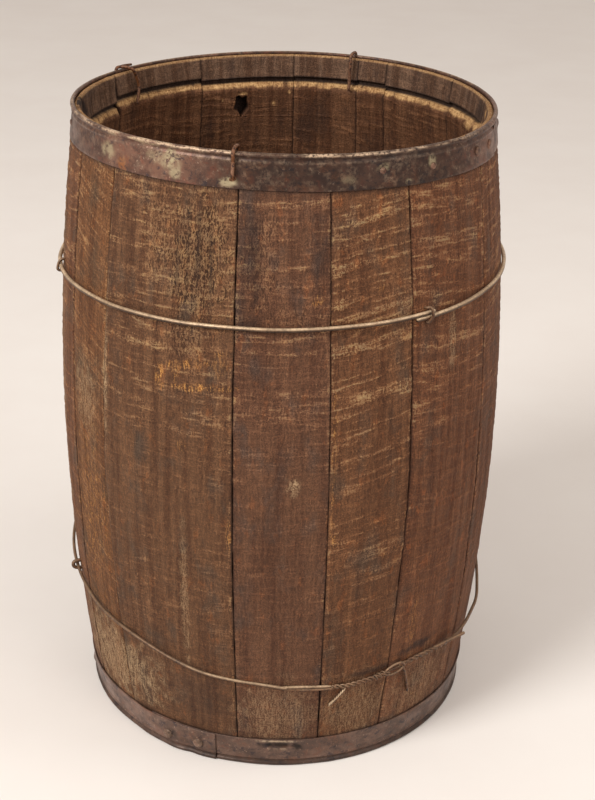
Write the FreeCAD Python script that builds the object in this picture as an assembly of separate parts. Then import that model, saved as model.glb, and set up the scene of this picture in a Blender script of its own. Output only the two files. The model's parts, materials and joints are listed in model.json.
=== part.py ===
import FreeCAD, Part
import math
import os

# A slack (dry goods) keg of the kind nails were sold in: random-width sawn staves drawn
# together by two flat steel hoops and two wire hoops. Its upper head is gone, so it stands
# open, and three bent wires tie the upper steel hoop to the staves.
#
# Millimetres. +Z is up, along the keg's axis. The origin is at the middle of the base.
# Angles run round the keg in degrees: 0 is the front (-Y) and 90 is the right (+X).

Vector = FreeCAD.Vector

# ---- Driving dimensions ------------------------------------------------------------------
STAVE_LENGTH = 457.2          # an 18 in stave
END_RADIUS = 144.6            # outside of the staves at either end
BILGE_RADIUS = 161.4          # outside of the staves at half height
STAVE_THICKNESS = 12.0        # sawn thickness
CHIME_THICKNESS = 4.2         # what the bevel of the chime leaves at the very ends
ARRIS = 1.2                   # worn bevel on the outer corner of each stave end

CROZE_TO_END = 16.5           # from the stave's end to the groove that holds the head
CROZE_WIDTH = 4.0
CROZE_DEPTH = 3.0
CHIME_TAPER = 4.6             # the chime is this much thicker at the groove than at the end
LIP_SLOPE = 6.0               # height over which the wall thins towards the groove

# The joints between staves, as angles. Each stave runs from one joint to the next.
STAVE_JOINTS = (-11.2, 11.8, 32.4, 60.0, 90.0, 119.3, 147.6, 157.3,
                177.9, 208.8, 245.0, 272.0, 295.7, 312.6)

HEAD_THICKNESS = 10.0
HEAD_EDGE = 3.4               # thickness of the head's bevelled rim, in the croze
HEAD_BEVEL = 14.0             # width of that bevel
HEAD_JOINTS = (-46.0, 52.0)   # where the head's boards meet, across the keg

HOOP_THICKNESS = 0.9
HOOP_GAP = 0.1                # between a hoop and the staves it holds
TOP_HOOP_WIDTH = 21.4         # below the stave ends
BOTTOM_HOOP_WIDTH = 24.2
BEAD_RADIUS = 1.5             # the rolled edge of a hoop
BEAD_STANDS_OUT = 1.1         # of the bead's middle, beyond the stave's end
TOP_BEAD_RISE = 0.4           # of the bead's middle, above the stave ends
TOP_LAP = (52.0, 69.0)        # where the top hoop's two ends lie one on the other
BOTTOM_LAP = (-38.0, -16.7)

RIVET_HEAD_RADIUS = 3.4
RIVET_HEAD_HEIGHT = 1.3
RIVET_SHANK_RADIUS = 1.6
TOP_RIVETS = ((56.5, 446.0), (64.5, 446.0))             # angle, height
BOTTOM_RIVETS = ((-32.2, 11.0), (-22.2, 12.0))

NAIL_HEAD_RADIUS = 2.2
NAIL_HEAD_HEIGHT = 0.8
NAIL_SHANK_RADIUS = 0.9
NAIL_LENGTH = 7.0
TOP_NAILS = ((38.9, 445.3), (24.2, 447.0), (-78.0, 446.0), (138.0, 446.5), (222.0, 445.5))

UPPER_WIRE_RADIUS = 1.5
UPPER_WIRE_HEIGHT = 349.0
UPPER_WIRE_RISE = (0.023, 0.012)      # how far it climbs per millimetre of X and of Y
UPPER_WIRE_ENDS = (33.0, 398.5)       # the wire starts and, a turn later, ends here
UPPER_WIRE_OFF = 0.8                  # air between the wire and the staves

LOWER_WIRE_RADIUS = 1.2
LOWER_SPLICE = (2.0, 62.0)            # both ends of the wire lie side by side here
# The lower wire hoop has slipped and hangs low at the front: angle, height, air behind it.
LOWER_WIRE = (
    (2, 74.6, 0.6), (20, 71.8, 0.6), (40, 79.0, 0.6), (60, 77.0, 2.5), (80, 82.0, 3.6),
    (100, 95.0, 3.0), (120, 112.0, 1.5), (140, 127.0, 0.4), (160, 137.0, 0.3),
    (180, 139.5, 0.2), (200, 139.5, 0.2), (220, 137.0, 0.3), (240, 131.0, 0.4),
    (260, 123.0, 0.8), (280, 111.0, 1.8), (300, 98.0, 0.8), (320, 92.0, 0.6),
    (340, 80.5, 0.6), (360, 75.2, 0.6),
)

STAPLE_RADIUS = 0.9
STAPLE_DEPTH = 8.0                    # how deep its legs go into the stave
STAPLE_REACH = 3.6                    # from the hoop's wire to either leg
UPPER_STAPLES = (37.6, -76.0)
LOWER_STAPLES = (-73.0,)

TIE_RADIUS = 1.2
TIE_HOLE_RADIUS = 1.7
TIE_HOLE_HEIGHT = 442.9
TIE_RISE = 3.2                        # of the tie's middle, above the stave ends
TIES = {"rim_tie_front": -12.7, "rim_tie_rear_left": 239.5, "rim_tie_rear_right": 159.4}

# A knot has dropped out of the inner face of one stave, and left a ragged star.
KNOT_ANGLE = 195.1
KNOT_HEIGHT = 418.5
KNOT_DEPTH = 8.0
KNOT_OUTLINE = ((-4.0, 7.7), (-1.8, 8.1), (0.8, 6.0), (4.2, 7.5), (4.9, 4.0), (6.6, -1.7),
                (4.0, -4.9), (0.4, -9.2), (-1.8, -4.4), (-6.1, -3.0), (-4.2, 2.1))

# ---- Geometry that everything shares -------------------------------------------------------
BOW = BILGE_RADIUS - END_RADIUS
BOW_RADIUS = (STAVE_LENGTH ** 2 / 4 + BOW ** 2) / (2 * BOW)
ARC_SHARE = 0.45              # how much of a run each rounded corner may take


def stave_radius(height, inset=0.0):
    """Radius of the staves' outer face at a height; inset moves in from that face."""
    along = height - STAVE_LENGTH / 2
    middle = BILGE_RADIUS - BOW_RADIUS
    return middle + math.sqrt((BOW_RADIUS - inset) ** 2 - along ** 2)


def spot(angle, radius, height):
    """A point at an angle round the keg."""
    turn = math.radians(angle)
    return Vector(radius * math.sin(turn), -radius * math.cos(turn), height)


def outline_face(corners):
    """A flat face in the XZ plane from (radius, height) corners; a three-item entry
    (radius, height, via) bulges the edge that ends there through the point via."""
    edges = []
    last = corners[-1]
    for corner in corners:
        start = Vector(last[0], 0, last[1])
        end = Vector(corner[0], 0, corner[1])
        if len(corner) == 3:
            via = Vector(corner[2][0], 0, corner[2][1])
            edges.append(Part.Arc(start, via, end).toShape())
        else:
            edges.append(Part.LineSegment(start, end).toShape())
        last = corner
    return Part.Face(Part.Wire(edges))


def turned(face, start, end):
    """The face swept round the keg's axis from one angle to another."""
    solid = face.revolve(Vector(0, 0, 0), Vector(0, 0, 1), end - start)
    solid.rotate(Vector(0, 0, 0), Vector(0, 0, 1), start - 90)
    return solid


def drill(angle, height, radius, inner, outer):
    """A radial cylinder between two radii."""
    start = spot(angle, inner, height)
    return Part.makeCylinder(radius, outer - inner, start, spot(angle, 1, 0))


def rounded_path(corners):
    """Straight runs joined by tangent arcs, each as large as its two runs allow."""
    edges = []
    start = corners[0]
    for before, corner, after in zip(corners, corners[1:], corners[2:]):
        back = before - corner
        ahead = after - corner
        reach = ARC_SHARE * min(back.Length, ahead.Length)
        half_turn = (math.pi - back.getAngle(ahead)) / 2
        radius = reach / math.tan(half_turn)
        back.normalize()
        ahead.normalize()
        inward = back + ahead
        inward.normalize()
        first = corner + back * reach
        last = corner + ahead * reach
        middle = corner + inward * (radius / math.cos(half_turn) - radius)
        edges.append(Part.LineSegment(start, first).toShape())
        edges.append(Part.Arc(first, middle, last).toShape())
        start = last
    edges.append(Part.LineSegment(start, corners[-1]).toShape())
    return Part.Wire(edges)


def wire_solid(corners, radius):
    """A round wire bent along a route."""
    path = rounded_path(corners)
    ring = Part.Wire(Part.makeCircle(radius, corners[0], corners[1] - corners[0]))
    solid = path.makePipeShell([ring], True, False)
    share = solid.Volume / (math.pi * radius ** 2 * path.Length)
    print(f"wire {path.Length:.0f} mm long, volume {share:.3f} of section times length")
    return solid


# ---- Staves ------------------------------------------------------------------------------
def stave_end(rise):
    """(radius, height) corners of the croze and chime, from the wall to the end's outer
    corner. rise turns a distance from the stave's end into a height."""
    lip = CROZE_TO_END + CROZE_WIDTH
    groove_wall = stave_radius(rise(CROZE_TO_END)) - CHIME_THICKNESS - CHIME_TAPER
    lip_wall = stave_radius(rise(lip)) - CHIME_THICKNESS - CHIME_TAPER
    return [
        (stave_radius(rise(lip + LIP_SLOPE), STAVE_THICKNESS), rise(lip + LIP_SLOPE)),
        (lip_wall, rise(lip)),
        (lip_wall + CROZE_DEPTH, rise(lip)),
        (groove_wall + CROZE_DEPTH, rise(CROZE_TO_END)),
        (groove_wall, rise(CROZE_TO_END)),
        (END_RADIUS - CHIME_THICKNESS, rise(0)),
        (END_RADIUS - ARRIS, rise(0)),
        (stave_radius(rise(ARRIS)), rise(ARRIS)),
    ]


def stave_section():
    """The stave's section along the keg, the same for every stave."""
    upper = stave_end(lambda depth: STAVE_LENGTH - depth)
    lower = stave_end(lambda depth: depth)[::-1]
    half = STAVE_LENGTH / 2
    outer_bow = (BILGE_RADIUS, half)
    inner_bow = (BILGE_RADIUS - STAVE_THICKNESS, half)
    lower[0] = (*lower[0], outer_bow)
    upper[0] = (*upper[0], inner_bow)
    return outline_face(upper + lower)


def knot_hole():
    """The ragged recess that the dropped knot left."""
    face_radius = stave_radius(KNOT_HEIGHT, STAVE_THICKNESS)
    outline = [Vector(face_radius - 4, -across, up) for across, up in KNOT_OUTLINE]
    hole = Part.Face(Part.makePolygon(outline + outline[:1]))
    hole = hole.extrude(Vector(4 + KNOT_DEPTH, 0, 0))
    hole.rotate(Vector(0, 0, 0), Vector(0, 0, 1), KNOT_ANGLE - 90)
    hole.translate(Vector(0, 0, KNOT_HEIGHT))
    return hole


def fastener_holes():
    """Every hole that goes into the staves from outside, as (angle, cutting solid)."""
    holes = []
    for angle in TIES.values():
        holes.append((angle, drill(angle, TIE_HOLE_HEIGHT, TIE_HOLE_RADIUS, 125, 160)))
    for angle, height in TOP_NAILS:
        depth = stave_radius(height) + HOOP_GAP + HOOP_THICKNESS - NAIL_LENGTH
        holes.append((angle, drill(angle, height, NAIL_SHANK_RADIUS, depth, 160)))
    for angle, height in TOP_RIVETS + BOTTOM_RIVETS:
        depth = stave_radius(height) - RIVET_HEAD_HEIGHT - HOOP_GAP
        holes.append((angle, drill(angle, height, RIVET_HEAD_RADIUS, depth, 160)))
    for angle, height, _ in staple_places():
        depth = stave_radius(height) - STAPLE_DEPTH
        for side in (-STAPLE_REACH, STAPLE_REACH):
            holes.append((angle, drill(angle, height + side, STAPLE_RADIUS, depth, 175)))
    return holes


def make_staves():
    section = stave_section()
    ends = STAVE_JOINTS[1:] + (STAVE_JOINTS[0] + 360,)
    holes = fastener_holes() + [(KNOT_ANGLE, knot_hole())]
    staves = {}
    for number, (start, end) in enumerate(zip(STAVE_JOINTS, ends), 1):
        stave = turned(section, start, end)
        for angle, hole in holes:
            if (angle - start + 5) % 360 < end - start + 10:
                stave = stave.cut(hole)
        staves[f"stave_{number:02d}"] = stave
    return staves


# ---- Head --------------------------------------------------------------------------------
def make_head():
    """The lower head: three boards side by side, bevelled to fit the croze."""
    floor = CROZE_TO_END + (CROZE_WIDTH - HEAD_EDGE) / 2
    groove = stave_radius(floor) - CHIME_THICKNESS - CHIME_TAPER + CROZE_DEPTH
    rim = groove - HOOP_GAP - 0.2
    section = outline_face([
        (0, floor), (rim, floor), (rim, floor + HEAD_EDGE),
        (rim - HEAD_BEVEL, floor + HEAD_THICKNESS), (0, floor + HEAD_THICKNESS),
    ])
    disc = section.revolve(Vector(0, 0, 0), Vector(0, 0, 1), 360)
    edges = (-rim - 5, *HEAD_JOINTS, rim + 5)
    names = ("head_board_left", "head_board_middle", "head_board_right")
    boards = {}
    for name, left, right in zip(names, edges, edges[1:]):
        slab = Part.makeBox(right - left, 4 * rim, 60, Vector(left, -2 * rim, 0))
        boards[name] = disc.common(slab)
    return boards


# ---- Steel hoops -------------------------------------------------------------------------
def band_section(low, high, layer):
    """The flat part of a hoop between two heights; layer 1 lies over layer 0."""
    out = HOOP_GAP + layer * HOOP_THICKNESS
    middle = (low + high) / 2
    inner = [(stave_radius(z) + out, z) for z in (low, middle, high)]
    outer = [(radius + HOOP_THICKNESS, z) for radius, z in inner]
    return outline_face([(*inner[0], inner[1]), outer[0], (*outer[2], outer[1]), inner[2]])


def bead(height):
    """The rolled edge of a hoop."""
    return Part.makeTorus(END_RADIUS + BEAD_STANDS_OUT, BEAD_RADIUS, Vector(0, 0, height))


def make_hoop(low, high, bead_height, lap, holes):
    """A steel band with one rolled edge, its ends lapped and pierced for its fasteners."""
    ring = turned(band_section(low, high, 0), 0, 360)
    hoop = ring.fuse([bead(bead_height), turned(band_section(low, high, 1), *lap)])
    for angle, height, radius in holes:
        hoop = hoop.cut(drill(angle, height, radius, 135, 160))
    return hoop.removeSplitter()


def make_hoops():
    top_bead = STAVE_LENGTH + TOP_BEAD_RISE
    top_holes = [(a, z, RIVET_SHANK_RADIUS) for a, z in TOP_RIVETS]
    top_holes += [(a, z, NAIL_SHANK_RADIUS) for a, z in TOP_NAILS]
    top_holes += [(a, TIE_HOLE_HEIGHT, TIE_HOLE_RADIUS) for a in TIES.values()]
    bottom_holes = [(a, z, RIVET_SHANK_RADIUS) for a, z in BOTTOM_RIVETS]
    top = make_hoop(STAVE_LENGTH - TOP_HOOP_WIDTH, STAVE_LENGTH - 0.5, top_bead,
                    TOP_LAP, top_holes)
    bottom = make_hoop(1.0, BOTTOM_HOOP_WIDTH, BEAD_RADIUS, BOTTOM_LAP, bottom_holes)
    return {"top_hoop": top, "bottom_hoop": bottom}


def fastener(angle, height, parts):
    """Coaxial cylinders on a radial line, each (radius, inner, outer)."""
    solids = [drill(angle, height, radius, inner, outer) for radius, inner, outer in parts]
    return solids[0].fuse(solids[1:]).removeSplitter()


def rivet(angle, height):
    """Holds both layers of a lap, with a head outside and a flattened one behind."""
    inner = stave_radius(height) + HOOP_GAP
    outer = inner + 2 * HOOP_THICKNESS
    return fastener(angle, height, [
        (RIVET_SHANK_RADIUS, inner - RIVET_HEAD_HEIGHT, outer + RIVET_HEAD_HEIGHT),
        (RIVET_HEAD_RADIUS, inner - RIVET_HEAD_HEIGHT, inner - 0.15),
        (RIVET_HEAD_RADIUS, outer + 0.1, outer + RIVET_HEAD_HEIGHT),
    ])


def nail(angle, height):
    outer = stave_radius(height) + HOOP_GAP + HOOP_THICKNESS
    return fastener(angle, height, [
        (NAIL_SHANK_RADIUS, outer - NAIL_LENGTH, outer + NAIL_HEAD_HEIGHT),
        (NAIL_HEAD_RADIUS, outer + 0.05, outer + NAIL_HEAD_HEIGHT),
    ])


# ---- Wire hoops, staples and ties ----------------------------------------------------------
def upper_wire_height(angle):
    place = spot(angle, stave_radius(UPPER_WIRE_HEIGHT), 0)
    return UPPER_WIRE_HEIGHT + UPPER_WIRE_RISE[0] * place.x + UPPER_WIRE_RISE[1] * place.y


def make_upper_wire():
    """One turn of wire; its ends lie one above the other where they meet."""
    start, end = UPPER_WIRE_ENDS
    runs = 20
    corners = []
    for step in range(runs + 1):
        angle = start + (end - start) * step / runs
        height = upper_wire_height(angle) + UPPER_WIRE_RADIUS * 1.05 * (2 * step / runs - 1)
        radius = stave_radius(height) + UPPER_WIRE_OFF + UPPER_WIRE_RADIUS
        reach = 1 if step in (0, runs) else 1 / math.cos(math.pi / runs)
        corners.append(spot(angle, radius * reach, height))
    return wire_solid(corners, UPPER_WIRE_RADIUS)


def lower_wire_corner(place, lift, open_end):
    angle, height, air = place
    radius = stave_radius(height) + air + LOWER_WIRE_RADIUS
    reach = 1 if open_end else 1 / math.cos(math.radians(10))
    return spot(angle, radius * reach, height + lift)


def make_lower_wire():
    """One turn of wire and a long splice, where both ends lie side by side."""
    lift = LOWER_WIRE_RADIUS * 1.08
    first_turn = [lower_wire_corner(p, lift, i == 0) for i, p in enumerate(LOWER_WIRE)]
    again = [p for p in LOWER_WIRE if LOWER_SPLICE[0] < p[0] < LOWER_SPLICE[1]]
    second = [lower_wire_corner(p, -lift, p is again[-1]) for p in again]
    return wire_solid(first_turn + second, LOWER_WIRE_RADIUS)


def staple_places():
    """(angle, height, radius of the hoop wire's outer side) of each staple."""
    places = []
    for angle in UPPER_STAPLES:
        height = upper_wire_height(angle)
        out = stave_radius(height) + UPPER_WIRE_OFF + 2 * UPPER_WIRE_RADIUS
        places.append((angle, height, out + 0.6))
    for angle in LOWER_STAPLES:
        turn = angle % 360
        after = next(i for i, p in enumerate(LOWER_WIRE) if p[0] >= turn)
        before, ahead = LOWER_WIRE[after - 1], LOWER_WIRE[after]
        share = (turn - before[0]) / (ahead[0] - before[0])
        height = before[1] + share * (ahead[1] - before[1]) + LOWER_WIRE_RADIUS
        air = max(before[2], ahead[2])
        places.append((angle, height, stave_radius(height) + air + 2 * LOWER_WIRE_RADIUS + 0.6))
    return places


def make_staples():
    """U-shaped wires driven into the staves across a wire hoop."""
    staples = []
    for angle, height, over in staple_places():
        depth = stave_radius(height) - STAPLE_DEPTH + 0.5
        crown = over + STAPLE_RADIUS
        legs = (height + STAPLE_REACH, height - STAPLE_REACH)
        corners = [spot(angle, depth, legs[0]), spot(angle, crown, legs[0]),
                   spot(angle, crown, legs[1]), spot(angle, depth, legs[1])]
        staples.append(wire_solid(corners, STAPLE_RADIUS))
    return Part.makeCompound(staples)


def make_tie(angle):
    """A wire bent over the rim: inside the chime, over the hoop's bead, down the hoop and
    back in through a hole drilled in hoop and stave."""
    inside = stave_radius(TIE_HOLE_HEIGHT) - CHIME_THICKNESS - CHIME_TAPER - TIE_RADIUS - 0.7
    outside = stave_radius(TIE_HOLE_HEIGHT) + HOOP_GAP + HOOP_THICKNESS + TIE_RADIUS + 0.4
    over_bead = END_RADIUS + BEAD_STANDS_OUT + BEAD_RADIUS + TIE_RADIUS + 0.4
    top = STAVE_LENGTH + TIE_RISE + TOP_BEAD_RISE
    corners = [
        spot(angle, inside - 1.5, TIE_HOLE_HEIGHT + 5.5),
        spot(angle, inside - 1.0, STAVE_LENGTH - 3.0),
        spot(angle, inside + 0.8, top),
        spot(angle, over_bead + 0.6, top),
        spot(angle, over_bead + 0.3, STAVE_LENGTH - 5.0),
        spot(angle, outside + 0.8, TIE_HOLE_HEIGHT),
        spot(angle, inside - 2.5, TIE_HOLE_HEIGHT),
    ]
    return wire_solid(corners, TIE_RADIUS)


# ---- The whole keg -------------------------------------------------------------------------
def main():
    nodes = {}
    nodes.update(make_staves())
    nodes.update(make_head())
    nodes.update(make_hoops())
    nodes["top_hoop_rivets"] = Part.makeCompound([rivet(*place) for place in TOP_RIVETS])
    nodes["top_hoop_nails"] = Part.makeCompound([nail(*place) for place in TOP_NAILS])
    nodes["bottom_hoop_rivets"] = Part.makeCompound([rivet(*place) for place in BOTTOM_RIVETS])
    nodes["upper_wire_hoop"] = make_upper_wire()
    nodes["lower_wire_hoop"] = make_lower_wire()
    nodes["wire_hoop_staples"] = make_staples()
    for name, angle in TIES.items():
        nodes[name] = make_tie(angle)

    os.makedirs("parts", exist_ok=True)
    for name, shape in nodes.items():
        box = shape.BoundBox
        print(f"{name}: valid {shape.isValid()}, {len(shape.Solids)} solids, "
              f"z {box.ZMin:.2f} to {box.ZMax:.2f}, {shape.Volume / 1000:.1f} cm3")
        shape.exportStep(f"parts/{name}.step")


main()
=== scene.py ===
import itertools
import json
import math

import bpy
import numpy as np
from mathutils import Matrix, Vector


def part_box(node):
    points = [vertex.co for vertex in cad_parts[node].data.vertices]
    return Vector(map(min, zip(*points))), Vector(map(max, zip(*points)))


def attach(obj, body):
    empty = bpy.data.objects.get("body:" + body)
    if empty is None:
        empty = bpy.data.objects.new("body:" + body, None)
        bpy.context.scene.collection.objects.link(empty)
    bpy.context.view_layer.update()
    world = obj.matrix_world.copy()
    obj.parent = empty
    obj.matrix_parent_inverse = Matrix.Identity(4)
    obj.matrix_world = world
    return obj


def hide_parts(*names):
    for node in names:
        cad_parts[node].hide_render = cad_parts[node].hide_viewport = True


# The looks of a slack stave keg: worn sawn staves, rolled-edge steel hoops, wire hoops and
# wire ties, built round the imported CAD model. +Z is up and the front is -Y. Lengths are mm
# until Shape.piece makes metres of them; materials, lights and camera are in metres. Angles
# are degrees round the keg: 0 is the front and 90 is the right (+X).

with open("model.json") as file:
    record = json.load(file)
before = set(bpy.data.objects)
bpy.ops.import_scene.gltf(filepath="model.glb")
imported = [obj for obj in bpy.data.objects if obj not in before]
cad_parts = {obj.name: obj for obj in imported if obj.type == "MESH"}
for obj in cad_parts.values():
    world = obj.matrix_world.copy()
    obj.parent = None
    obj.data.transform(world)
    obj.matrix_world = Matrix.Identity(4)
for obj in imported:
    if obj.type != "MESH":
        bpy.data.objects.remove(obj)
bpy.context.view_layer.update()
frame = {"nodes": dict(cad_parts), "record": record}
MM = 0.001
join = np.concatenate


# ---- Reading the frame ----
def vertices_of(node):
    """A CAD node's vertices."""
    data = frame["nodes"][node].data
    flat = np.zeros(len(data.vertices) * 3)
    data.vertices.foreach_get("co", flat)
    return flat.reshape(-1, 3) / MM


def box_of(node):
    """The two opposite corners of a CAD node's box."""
    return [np.array(corner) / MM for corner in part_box(node)]


def angles_of(points):
    return np.degrees(np.arctan2(points[..., 0], -points[..., 1]))


def turned_by(angle, middle):
    """An angle's difference from another, from -180 to 180."""
    return (angle - middle + 180) % 360 - 180


def span_of(node):
    """The angles of a stave's two sides."""
    points = vertices_of(node)
    middle = angles_of(points.mean(0))
    off = turned_by(angles_of(points), middle)
    return middle + off.min(), middle + off.max()


def places_of(node):
    """(angle, height) of each of a node's small solids, which stand at different angles."""
    points = vertices_of(node)
    points = points[np.argsort(angles_of(points))]
    starts = np.flatnonzero(np.diff(angles_of(points)) > 1.5) + 1
    solids = np.split(points, starts)
    return [(float(angles_of(s.mean(0))), (s[:, 2].min() + s[:, 2].max()) / 2) for s in solids]


# ---- Driving sizes ----
STAVES = sorted(name for name in frame["nodes"] if name.startswith("stave_"))
SPANS = [span_of(name) for name in STAVES]
MOUTH = next(m["dims"]["r_mm"] for m in frame["record"]["mounts"] if m["name"] == "mouth")
CHIME = 4.2                     # wall thickness at the very ends
CHIME_TAPER = 4.6               # the chime is this much thicker at the croze
WALL = 12
LENGTH = box_of(STAVES[0])[1][2]
END = MOUTH + CHIME
BILGE = float(np.hypot(*vertices_of(STAVES[0]).T[:2]).max())
BOW = BILGE - END
BOW_RADIUS = (LENGTH ** 2 / 4 + BOW ** 2) / (2 * BOW)
CROZE_TOP = 16.5                # from a stave's end, as the next one
CROZE_LOW = 20.5
CROZE_DEPTH = 3
LIP_END = 26.5

# The ends are a little out of round: amounts of two and three waves round the keg.
TOP_OVAL = (0.0013, -0.0043)
TOP_TRIANGLE = (-0.011, 0.0099)
BOTTOM_OVAL = (0.0029, 0.003)


# ---- Numbers and noise ----
def step(low, high, value):
    """0 below low, 1 above high, smooth between."""
    share = np.clip((np.asarray(value, float) - low) / (high - low), 0, 1)
    return share * share * (3 - 2 * share)


def fade(distance, reach):
    """1 at no distance, falling to 0 past a reach."""
    return np.exp(-(np.maximum(distance, 0) / reach) ** 1.4)


def along(*parts):
    """Broadcasts coordinates together into rows of three. Rows of three stay as they are."""
    if len(parts) == 1:
        return np.asarray(parts[0], float)
    return np.stack(np.broadcast_arrays(*[np.asarray(p, float) for p in parts]), axis=-1)


def noise(seed, *place):
    """Smooth noise from -1 to 1 with one cell per unit, at rows of three or three coordinates."""
    points = along(*place)
    cell = np.floor(points).astype(np.int64)
    share = points - cell
    share = share * share * (3 - 2 * share)
    total = np.zeros(points.shape[:-1])
    for corner in itertools.product((0, 1), repeat=3):
        weight = np.prod(np.where(corner, share, 1 - share), axis=-1)
        c = cell + corner
        code = c[..., 0] * 73856093 ^ c[..., 1] * 19349663 ^ c[..., 2] * 83492791 ^ seed * 40503
        code = ((code & 0x7FFFFFFF) ^ (code >> 13 & 0x3FFFF)) * 1274126177 & 0x7FFFFFFF
        code = (code ^ code >> 15) * 668265263 & 0x7FFFFFFF
        total += weight * ((code ^ code >> 12) / 2 ** 30 - 1)
    return total


def rough(seed, *place):
    """Three sizes of noise added together."""
    points = along(*place)
    return sum(noise(seed + 17 * k, points * 2 ** k) / 2 ** k for k in range(3)) / 1.5


def across_of(angle):
    """Distance round the bilge."""
    return np.radians(angle) * BILGE


def wall_radius(height, inset=0):
    """Radius of the staves' outer face at a height."""
    rise = np.asarray(height, float) - LENGTH / 2
    return BILGE - BOW_RADIUS + np.sqrt((BOW_RADIUS - inset) ** 2 - rise ** 2)


def spot(angle, radius, height):
    """Points at an angle round the keg."""
    turn = np.radians(angle)
    return along(radius * np.sin(turn), -radius * np.cos(turn), height)


def waves(turn, count, amounts):
    return amounts[0] * np.cos(count * turn) + amounts[1] * np.sin(count * turn)


def settle(points):
    """Puts points where the keg's slight out-of-roundness takes them."""
    turn = np.radians(angles_of(points))
    share = points[:, 2] / LENGTH
    top = waves(turn, 2, TOP_OVAL) + waves(turn, 3, TOP_TRIANGLE)
    low = waves(turn, 2, BOTTOM_OVAL)
    grow = 1 + np.clip(share, 0, 1.05) ** 2 * top + np.clip(1 - share, 0, 1.05) ** 2 * low
    return points * along(grow, grow, 1)


def smooth_route(points, spacing):
    """A rounded line through points, evenly spaced."""
    points = np.asarray(points, float)
    padded = join([[2 * points[0] - points[1]], points, [2 * points[-1] - points[-2]]])
    pieces = []
    for a, b, c, d in zip(padded, padded[1:], padded[2:], padded[3:]):
        count = max(2, int(np.linalg.norm(c - b) / spacing))
        t = np.linspace(0, 1, count, endpoint=False)[:, None]
        curve = 2 * b + (c - a) * t + (2 * a - 5 * b + 4 * c - d) * t ** 2
        pieces.append((curve + (3 * b - a - 3 * c + d) * t ** 3) / 2)
    return join(pieces + [points[-1:]])


# ---- Meshes ----
PLACES = ("grain", "saw")       # values that are places, which the materials want in metres


def add_object(name, data):
    made = bpy.data.objects.new(name, data)
    bpy.context.scene.collection.objects.link(made)
    return made


class Shape:
    """Gathers points, faces and values per point, and makes one mesh piece of them."""

    def __init__(self):
        self.points = np.zeros((0, 3))
        self.faces = []
        self.values = {}

    def add(self, points, faces, **values):
        first = len(self.points)
        self.faces += [face + first for face in outward(points, faces)]
        self.points = join([self.points, points])
        for key, value in values.items():
            wide = (3,) if key in PLACES or key == "tint" else ()
            value = np.asarray(value, float) * (MM if key in PLACES else 1)
            value = value.reshape(-1, *wide) if value.size > 3 else value
            self.values.setdefault(key, []).append(np.broadcast_to(value, (len(points), *wide)))

    def piece(self, looks, node, material):
        """Makes the piece, named after its looks and the CAD node it replaces."""
        mesh = bpy.data.meshes.new(looks + node)
        faces = [face for block in self.faces for face in block.tolist()]
        mesh.from_pydata(settle(self.points) * MM, [], faces, shade_flat=False)
        for key, rows in self.values.items():
            data = join(rows).astype(np.float32)
            kind, field = ("FLOAT_VECTOR", "vector") if data.ndim == 2 else ("FLOAT", "value")
            mesh.attributes.new(key, kind, "POINT").data.foreach_set(field, data.ravel())
        mesh.materials.append(material)
        made = add_object(looks + node, mesh)
        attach(made, "root")
        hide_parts(node)


def outward(points, faces):
    """The same faces, turned so that a closed mesh's faces look outwards."""
    volume = 0
    for face in faces:
        a = points[face[:, 0]]
        for k in range(1, face.shape[1] - 1):
            volume += np.sum(a * np.cross(points[face[:, k]], points[face[:, k + 1]]))
    return faces if volume > 0 else [face[:, ::-1] for face in faces]


def grid(rows, columns, wrap=False):
    """Quads of a grid of points; wrap joins the last column to the first."""
    row = np.arange(rows - 1)[:, None] * columns
    column = np.arange(columns if wrap else columns - 1)[None, :]
    after = (column + 1) % columns
    quads = [row + column, row + after, row + columns + after, row + columns + column]
    return np.stack(quads, -1).reshape(-1, 4)


def closed(rings):
    """Points and faces of a row of rings, with a fan to a point in the middle of each end."""
    count, sides = rings.shape[:2]
    points = join([rings.reshape(-1, 3), [rings[0].mean(0), rings[-1].mean(0)]])
    faces = [grid(count, sides, wrap=True)]
    for end, first, turn in ((0, 0, -1), (1, (count - 1) * sides, 1)):
        ring = first + np.arange(sides)
        middle = np.full(sides, count * sides + end)
        faces.append(np.stack([ring, np.roll(ring, -1), middle], -1)[:, ::turn])
    return points, faces


def tube(route, radius, sides):
    """A round bar along a route, with rounded ends; returns points and faces."""
    radius = np.broadcast_to(radius, len(route))
    forward = np.gradient(route, axis=0)
    forward /= np.linalg.norm(forward, axis=1)[:, None]
    side = np.cross(forward[0], (0.13, 0.21, 0.97))
    turn = np.linspace(0, 2 * np.pi, sides, endpoint=False)[:, None]
    rings = []
    for centre, ahead, size in zip(route, forward, radius):
        side = side - ahead * (side @ ahead)
        side /= np.linalg.norm(side)
        rings.append(centre + size * (np.cos(turn) * side + np.sin(turn) * np.cross(ahead, side)))
    for end in (0, -1):
        push = forward[end] * radius[end] * (1 if end else -1)
        cap = [route[end] + (rings[end] - route[end]) * size + push * out
               for size, out in ((0.8, 0.35), (0.4, 0.55))]
        rings = rings + cap if end else cap[::-1] + rings
    return closed(np.array(rings))


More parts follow.
